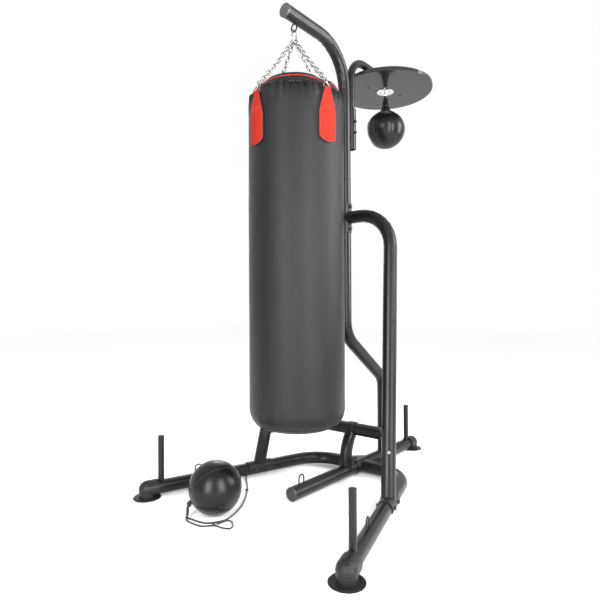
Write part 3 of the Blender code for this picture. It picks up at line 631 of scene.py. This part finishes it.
def stitches(part, path, pitch, length, radius, slot=0, closed=False):
    """Short raised threads along a path."""
    points = [Vector(p) for p in path]
    if closed:
        points.append(points[0])
    spans = [(b - a).length for a, b in zip(points, points[1:])]
    total = sum(spans)
    count = max(1, int(total / pitch))
    for k in range(count):
        ends = []
        for distance in ((k + 0.5) * total / count - length / 2, (k + 0.5) * total / count + length / 2):
            left = min(max(distance, 0.0), total - 1e-9)
            for a, b, span in zip(points, points[1:], spans):
                if left <= span:
                    ends.append(a.lerp(b, left / span))
                    break
                left -= span
        if len(ends) == 2:
            a, b = ends
            thin = radius * 0.4
            run = [a, a.lerp(b, 0.25), a.lerp(b, 0.75), b]
            part.add(sweep(run, [thin, radius, radius, thin], 5), slot)


CUFF_OUTLINE = (
    (0.0, 0.0120), (0.05, 0.0122), (0.10, 0.0115), (0.138, 0.0095), (0.1530, 0.0060), (0.1590, 0.0012),
    (0.1622, 0.0), (0.1648, 0.0024), (0.1672, 0.0080), (0.1702, 0.0150), (0.1736, 0.0225),
    (0.1766, 0.0290), (0.1788, 0.0332), (0.1780, SEAM_DROP), (0.0, SEAM_DROP),
)
CUFF_STITCHES = ((0.0080, 0.1677), (0.0200, 0.1728), (0.0285, 0.1768))


def make_bag():
    shell = Part().add(lathe(bag_profile(), SHELL_STEPS, BAG_PLACE, bag_push, rim_dip))
    body = shell.make("bag_shell", VINYL, "heavy_bag", "bag_vinyl", ["bag_body"])
    # base seam and the seam down the back
    trim = Part()
    seam_r = BAG_R - BAG_CORNER + BAG_CORNER * math.cos(BASE_SEAM_TURN)
    seam_z = BAG_LOW + BAG_CORNER - BAG_CORNER * math.sin(BASE_SEAM_TURN)
    trim.add(sweep(ring_path(seam_r + 0.0004, seam_z, BASE_RING_STEPS, bag_push), 0.0019, 8, closed=True))
    back = []
    for z in np.linspace(BAG_LOW + BAG_CORNER, BAG_TOP - SEAM_DROP - 0.003, 90):
        reach = bag_radius(z) + bag_push(BACK_SEAM, z, 0.19) + 0.0004
        back.append(BAG_PLACE @ Vector((reach * math.cos(BACK_SEAM), reach * math.sin(BACK_SEAM), z)))
    trim.add(sweep(back, 0.0017, 8))
    trim.make("bag_seams", BAND, "heavy_bag", "bag_vinyl")
    thread = Part()
    round_base = ring_path(seam_r + 0.0046, seam_z + 0.0046, BASE_RING_STEPS, bag_push)
    stitches(thread, round_base, 0.0085, 0.0055, 0.0006, closed=True)
    thread.make("bag_base_stitching", THREAD, "heavy_bag", "bag_vinyl")
    # top band: cuff, hem and a slack cover
    cuff = [(radius, BAG_TOP - depth) for radius, depth in CUFF_OUTLINE]

    def cuff_push(angle, z, radius):
        around = Vector((math.cos(angle), math.sin(angle), 0))
        if radius < 0.13:
            return 0.0
        slack = 0.0014 * noise.noise(Vector((around.x * 7.0, around.y * 7.0, 2.0 + z * 9.0)))
        return slack + strap_dent(angle, 0.0) * min(1.0, (radius - 0.13) / 0.03)

    rows = []
    for (r0, z0), (r1, z1) in zip(cuff, cuff[1:]):
        rows.append((r0, z0))
        if min(r0, r1) > 0.15:
            rows.append(((r0 + r1) / 2, (z0 + z1) / 2))
    rows.append(cuff[-1])
    band = Part().add(lathe(rows, RING_STEPS, BAG_PLACE, cuff_push, rim_dip))
    band.make("bag_cuff", BAND, "heavy_bag", "bag_vinyl", ["bag_top_band"])
    hem = Part().add(sweep(ring_path(0.1697, HEM_Z, RING_STEPS, cuff_push), 0.0018, 10, closed=True))
    hem.make("bag_piping", PIPING, "heavy_bag", "orange_webbing")
    hem_low = ring_path(0.1784, BAG_TOP - SEAM_DROP, RING_STEPS, cuff_push)
    roll = Part().add(sweep(hem_low, 0.0020, 8, closed=True))
    roll.make("bag_hem_roll", BAND, "heavy_bag", "bag_vinyl")
    lines = Part()
    for depth, radius in CUFF_STITCHES:
        ring = ring_path(radius, BAG_TOP - depth, RING_STEPS, cuff_push)
        stitches(lines, ring, 0.0062, 0.0040, 0.00055, closed=True)
    lines.make("bag_cuff_stitching", THREAD, "heavy_bag", "bag_vinyl")


STRAP_LOW = float(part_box("bag_strap_right")[0][2])
STRAP_TOP = float(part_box("bag_strap_right")[1][2])
STRAP_HALF = 0.0405
STRAP_TOP_HALF = 0.0165
STRAP_TAPER = 0.085
STRAP_T = 0.0030
STRAP_ROUND = 0.026
RING_Z = STRAP_TOP + 0.0075
RING_R = 0.1905


def strap_point(angle, across, z, lift):
    """A point on a strap, across the bag's skin from its middle line and lifted off the skin."""
    radius = bag_radius(z) + 0.0016 + lift
    turn = angle + across / BAG_R
    return BAG_PLACE @ Vector((radius * math.cos(turn), radius * math.sin(turn), z))


def strap_half_width(z):
    """Half the strap's width: a lower end with round corners, straight sides and a taper to the ring."""
    rise = z - STRAP_LOW
    if rise < STRAP_ROUND:
        t = max(rise, 0.0) / STRAP_ROUND
        return STRAP_HALF * max(math.sqrt(max(1 - (1 - t) ** 2.1, 0.0)), 0.02)
    t = min(max((z - (STRAP_TOP - STRAP_TAPER)) / STRAP_TAPER, 0.0), 1.0)
    return STRAP_HALF - (STRAP_HALF - STRAP_TOP_HALF) * t ** 1.15


def make_strap(name, angle):
    zs = list(np.linspace(STRAP_LOW, STRAP_LOW + STRAP_ROUND, 14)) + list(
        np.linspace(STRAP_LOW + STRAP_ROUND, STRAP_TOP, 26))[1:]
    steps = 12
    verts = []
    for lift in (STRAP_T, 0.0):
        for z in zs:
            half = strap_half_width(z)
            for k in range(steps + 1):
                across = half * (2 * k / steps - 1)
                swell = 0.0008 * (1 - (2 * k / steps - 1) ** 2) if lift else 0.0
                verts.append(strap_point(angle, across, z, lift + swell))
    rows, row = len(zs), steps + 1
    layer = rows * row
    faces = []
    for i in range(rows - 1):
        for k in range(steps):
            a = i * row + k
            faces.append((a, a + 1, a + 1 + row, a + row))
            faces.append((layer + a, layer + a + row, layer + a + 1 + row, layer + a + 1))
        for k in (0, steps):
            a = i * row + k
            faces.append((a, a + row, layer + a + row, layer + a))
    for i in (0, rows - 1):
        for k in range(steps):
            a = i * row + k
            faces.append((a, layer + a, layer + a + 1, a + 1))
    body = Part()
    body.add((verts, faces))
    rim = STRAP_T * 0.62
    outline = [strap_point(angle, -strap_half_width(z) * 0.985, z, rim) for z in reversed(zs)]
    outline += [strap_point(angle, strap_half_width(z) * 0.985, z, rim) for z in zs[1:]]
    body.add(sweep(outline, 0.0022, 8), 1)
    inset = 0.0050
    seam_zs = zs[5:-1]
    lift = STRAP_T + 0.0006
    line = [strap_point(angle, inset - strap_half_width(z), z, lift) for z in reversed(seam_zs)]
    line += [strap_point(angle, strap_half_width(z) - inset, z, lift) for z in seam_zs]
    stitches(body, line, 0.0052, 0.0036, 0.00055, 2)
    for bow in (0.0, -0.0085):
        arc = []
        for x in np.linspace(-0.026, 0.026, 11):
            z = STRAP_TOP - 0.052 + bow - 0.006 * (1 - (x / 0.026) ** 2)
            arc.append(strap_point(angle, x, z, STRAP_T + 0.0012))
        stitches(body, arc, 0.0046, 0.0034, 0.0008, 2)
    body.make("strap_" + name, [STRAP, STRAP_EDGE, THREAD_RED], "heavy_bag", "orange_webbing",
              ["bag_strap_" + name])
    # the fold of strap through its ring
    out = Vector((math.cos(angle), math.sin(angle), 0))
    side = Vector((-out.y, out.x, 0))
    centre = BAG_PLACE @ Vector((0, 0, 0))
    skin = bag_radius(STRAP_TOP)
    loop = [(skin + 0.0040, STRAP_TOP - 0.0280), (skin + 0.0052, STRAP_TOP - 0.0080),
            (RING_R + 0.0042, RING_Z - 0.0006), (RING_R + 0.0022, RING_Z + 0.0038),
            (RING_R - 0.0012, RING_Z + 0.0042), (RING_R - 0.0038, RING_Z + 0.0010),
            (RING_R - 0.0036, RING_Z - 0.0040)]
    path = smooth_path([centre + out * r + UP * z for r, z in loop], 4)
    half = 0.0145
    band = [(-half, -0.0012), (half, -0.0012), (half, 0.0012), (-half, 0.0012)]
    fold = Part().add(sweep(path, 1.0, section=band, side=side))
    fold.make("strap_fold_" + name, STRAP, "heavy_bag", "orange_webbing")


def link_path(centre, run, across, half_length, half_width):
    """The wire line of a chain link that lies along run, opened across."""
    straight = half_length - half_width
    path = []
    for end in (1, -1):
        for k in range(9):
            angle = math.pi * k / 8
            reach = half_width * math.sin(angle) + straight
            path.append(centre + (across * half_width * math.cos(angle) + run * reach) * end)
    return path


LINK_PITCH = 0.0195
LINK_WIRE = 0.0025
LINK_HALF_W = 0.0067


def evenly(points, count):
    """Count equal steps along a path."""
    spans = [(b - a).length for a, b in zip(points, points[1:])]
    total = sum(spans)
    spots = []
    for k in range(count + 1):
        left = total * k / count
        for a, b, span in zip(points, points[1:], spans):
            if left <= span + 1e-9:
                spots.append(a.lerp(b, min(left / span, 1.0)))
                break
            left -= span
    return spots


def make_chain(name, angle):
    """A chain from the quick link over the drawn-in rim to the strap's ring."""
    out = Vector((math.cos(angle), math.sin(angle), 0))
    side = Vector((-out.y, out.x, 0))
    axis = BAG_PLACE @ Vector((0, 0, 0))
    hook = Vector(middle("quick_link"))
    hook.z = float(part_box("quick_link")[0][2]) + 0.003
    foot = axis + out * RING_R + UP * RING_Z
    lean = Vector((UP - out * 0.42)).normalized()
    crown = foot + lean * 0.0215
    rim = axis + out * 0.1625 + UP * (BAG_TOP - 0.0005)
    rise = hook + out * 0.0065 + UP * 0.0010
    sag = rise.lerp(rim, 0.5) - UP * 0.0060
    line = smooth_path([rise, sag, rim, axis + out * 0.1775 + UP * (BAG_TOP - 0.015), crown], 8)
    length = sum((b - a).length for a, b in zip(line, line[1:]))
    joints = evenly(line, round(length / LINK_PITCH))
    chain = Part()
    for k, (start, end) in enumerate(zip(joints, joints[1:])):
        run = (end - start).normalized()
        across = side if k % 2 else run.cross(side).normalized()
        across = Matrix.Rotation(0.16 * math.sin(2.4 * k + angle), 3, run) @ across
        half_length = (end - start).length / 2 + LINK_WIRE - 0.0002
        wire = link_path((start + end) / 2, run, across, half_length, LINK_HALF_W)
        chain.add(sweep(wire, LINK_WIRE, 10, closed=True))
    chain.make("chain_links_" + name, ZINC, "heavy_bag", "zinc_steel", ["chain_" + name])
    path = [foot + side * x for x in np.linspace(-0.0150, 0.0150, 5)]
    for k in range(1, 12):
        a = math.pi * k / 12
        path.append(foot + side * 0.0165 * math.cos(a) + lean * (0.0040 + 0.0195 * math.sin(a)))
    ring = Part().add(sweep(path, 0.0024, 10, closed=True))
    ring.make("strap_ring_" + name, ZINC, "heavy_bag", "zinc_steel")


make_bag()
for which, turn_angle in STRAP_ANGLES.items():
    make_strap(which, turn_angle)
    make_chain(which, turn_angle)

# ------------------------------------------------------------------ speed bag and its board

BOARD_MID = middle("speed_board")
BOARD_LOW = float(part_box("speed_board")[0][2])
SPEED_MID = middle("speed_bag")
SPEED_LOW = float(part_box("speed_bag")[0][2])
SPEED_R = float(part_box("speed_bag")[1][0])
SPEED_MID_Z = SPEED_LOW + SPEED_R
GORES = 6
GORE_TURN = math.radians(20)
BALL_STEPS = 144


def gore_push(count, depth, phase=0.0):
    """Seams that draw in between swollen panels."""
    def push(angle, _, radius):
        near = abs(math.sin(count * (angle - phase) / 2))
        swell = min(1.0, radius / 0.05)
        return -depth * swell * math.exp(-near * 9.0) - depth * 0.8 * swell * (1 - near)
    return push


def speed_profile():
    outline = [
        (1.8566, 0.0), (1.8566, 0.0050), (1.8550, 0.0074), (1.8500, 0.0086), (1.8420, 0.0100),
        (1.8330, 0.0118), (1.8200, 0.0140), (1.8080, 0.0162), (1.7960, 0.0196), (1.7850, 0.0236),
        (1.7790, 0.0288), (1.7745, 0.0345), (1.7695, 0.0418), (1.7650, 0.0490), (1.7600, 0.0560),
        (1.7550, 0.0625), (1.7450, 0.0735), (1.7360, 0.0815), (1.7280, 0.0867), (1.7210, 0.0905),
        (1.7120, 0.0939), (1.7050, 0.0958), (1.6960, 0.0972),
    ]
    for step in range(15):
        angle = math.pi / 2 * step / 14
        outline.append((SPEED_MID_Z - SPEED_R * math.sin(angle), max(SPEED_R * math.cos(angle), 0.0)))
    outline[-1] = (SPEED_MID_Z - SPEED_R, 0.0)
    rows = []
    for (z0, r0), (z1, r1) in zip(outline, outline[1:]):
        for t in (0.0, 0.5):
            rows.append((r0 + (r1 - r0) * t, z0 + (z1 - z0) * t))
    rows.append((0.0, outline[-1][0]))
    return [rows[0]] + rows[2:]


def make_speed_bag():
    place = Matrix.Translation((SPEED_MID.x, SPEED_MID.y, 0))
    push = gore_push(GORES, 0.0011, GORE_TURN)
    rows = speed_profile()
    skin = Part().add(lathe(rows, BALL_STEPS, place, push))
    body = skin.make("speed_bag_skin", LEATHER, "speed_bag", "black_leather", ["speed_bag"])
    seams = Part()
    threads = Part()
    for k in range(GORES):
        angle = GORE_TURN + TAU * k / GORES
        line = []
        for radius, z in rows[4:-4]:
            r = radius + push(angle, z, radius) + 0.0002
            line.append(place @ Vector((r * math.cos(angle), r * math.sin(angle), z)))
        seams.add(sweep(line, 0.0009, 6))
    seams.make("speed_bag_seams", LEATHER_SOFT, "speed_bag", "black_leather")
    for z, radius in ((1.8520, 0.0086), (1.8060, 0.0170), (1.8010, 0.0184)):
        turns = [TAU * k / 40 for k in range(40)]
        path = [place @ Vector((radius * math.cos(turn), radius * math.sin(turn), z)) for turn in turns]
        threads.add(sweep(path, 0.0012, 8, closed=True))
    threads.make("speed_bag_neck_rings", LEATHER_SOFT, "speed_bag", "black_leather")


def screw_head(part, place, way, radius, height):
    """A domed screw head with a recessed drive."""
    at = along(place, Vector(place) + Vector(way))
    rows = [(0, height * 0.45), (radius * 0.38, height * 0.45), (radius * 0.42, height * 0.98),
            (radius * 0.62, height * 0.92), (radius * 0.88, height * 0.62), (radius, height * 0.15),
            (radius, 0), (0, 0)]
    part.add(lathe(rows, 20, at))


PLATE_RISE = 0.0036
SCREW_HALF_X = 0.039
SCREW_HALF_Y = 0.0915


def make_board_details():
    screws = Part()
    for across, back in ((-1, -1), (1, 1), (-1, 1), (1, -1)):
        dx, dy = across * SCREW_HALF_X, back * SCREW_HALF_Y
        screw_head(screws, (BOARD_MID.x + dx, BOARD_MID.y + dy, BOARD_LOW), (0, 0, -1), 0.0075, 0.0032)
        top = float(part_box("speed_board")[1][2]) + PLATE_RISE
        at = along((BOARD_MID.x + dx, BOARD_MID.y + dy, top), (BOARD_MID.x + dx, BOARD_MID.y + dy, top + 1))
        screws.add(prism(6, 0.0075, 0.0, 0.0055, at, 0.001))
        screws.add(prism(16, 0.0038, 0.0, 0.0095, at, 0.0006))
    screws.make("board_screws", DARK_STEEL, "platform", "zinc_steel")
    swivel = Part()
    base = Vector(middle("swivel_base"))
    base.z = BOARD_LOW
    for k in range(4):
        angle = TAU * (k + 0.5) / 4
        spot = base + Vector((0.0300 * math.cos(angle), 0.0300 * math.sin(angle), -0.0032))
        screw_head(swivel, spot, (0, 0, -1), 0.0052, 0.0026)
    swivel.make("swivel_screws", CHROME, "platform", "chrome_steel")


make_speed_bag()
make_board_details()

# ------------------------------------------------------------------ double-end ball

BALL_MID = middle("double_end_ball")
BALL_R = float(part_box("double_end_ball")[1][2]) / 2
BALL_AXIS = Vector((0.485, 0.756, 0.441)).normalized()
BALL_SEAM = math.radians(35)


def make_ball():
    place = along(BALL_MID, BALL_MID + BALL_AXIS)
    rows = []
    count = 72
    for k in range(count + 1):
        angle = math.pi * k / count
        rows.append((max(BALL_R * math.sin(angle), 0.0), BALL_R * math.cos(angle)))
    rows[0] = (0.0, BALL_R)
    rows[-1] = (0.0, -BALL_R)

    def push(angle, _, radius):
        near = abs(math.sin(2 * (angle - BALL_SEAM)))
        swell = min(1.0, radius / 0.04)
        return -0.0012 * swell * math.exp(-near * 16.0)

    skin = Part().add(lathe(rows, BALL_STEPS, place, push))
    body = skin.make("ball_skin", LEATHER, "double_end_ball", "black_leather", ["double_end_ball"])
    trim = Part()
    for k in range(4):
        angle = BALL_SEAM + TAU * k / 4
        line = []
        for radius, z in rows[3:-3]:
            r = radius + push(angle, z, radius) * 0.9
            line.append(place @ Vector((r * math.cos(angle), r * math.sin(angle), z)))
        trim.add(sweep(line, 0.0008, 6))
    for end in (1, -1):
        disc = [(0, 0.0022), (0.0080, 0.0020), (0.0115, 0.0008), (0.0125, -0.0016), (0, -0.0016)]
        pole = BALL_MID + BALL_AXIS * end * BALL_R
        trim.add(lathe(disc, 24, along(pole, pole + BALL_AXIS * end)))
    trim.make("ball_seams", LEATHER_SOFT, "double_end_ball", "black_leather")


make_ball()


def make_ball_strap():
    """A flat leather tab from the ball's lower pole down to a knot on the cord."""
    pole = BALL_MID - BALL_AXIS * (BALL_R + 0.0062)
    spots = [pole + BALL_AXIS * 0.0052, pole, pole + Vector((-0.0105, 0.0035, -0.0105)),
             pole + Vector((-0.009, -0.0025, -0.0215)), pole + Vector((-0.0010, -0.009, -0.0325)),
             pole + Vector((0.0070, -0.0170, -0.0430))]
    path = smooth_path(spots, 6)
    strap = Part()
    band = [(-0.0074, -0.0016), (0.0074, -0.0016), (0.0074, 0.0016), (-0.0074, 0.0016)]
    strap.add(sweep(path, 1.0, section=band, side=(0.77, 0.64, 0)))
    knot(strap, pole + Vector((-0.005, 0.001, -0.006)), BALL_AXIS, 0.0080)
    knot(strap, (-0.1960, -0.6925, 0.0072), (0.1, 1.0, 0), 0.0047)
    strap.make("ball_tab", LEATHER_SOFT, "double_end_ball", "black_leather", ["ball_strap"])


make_ball_strap()
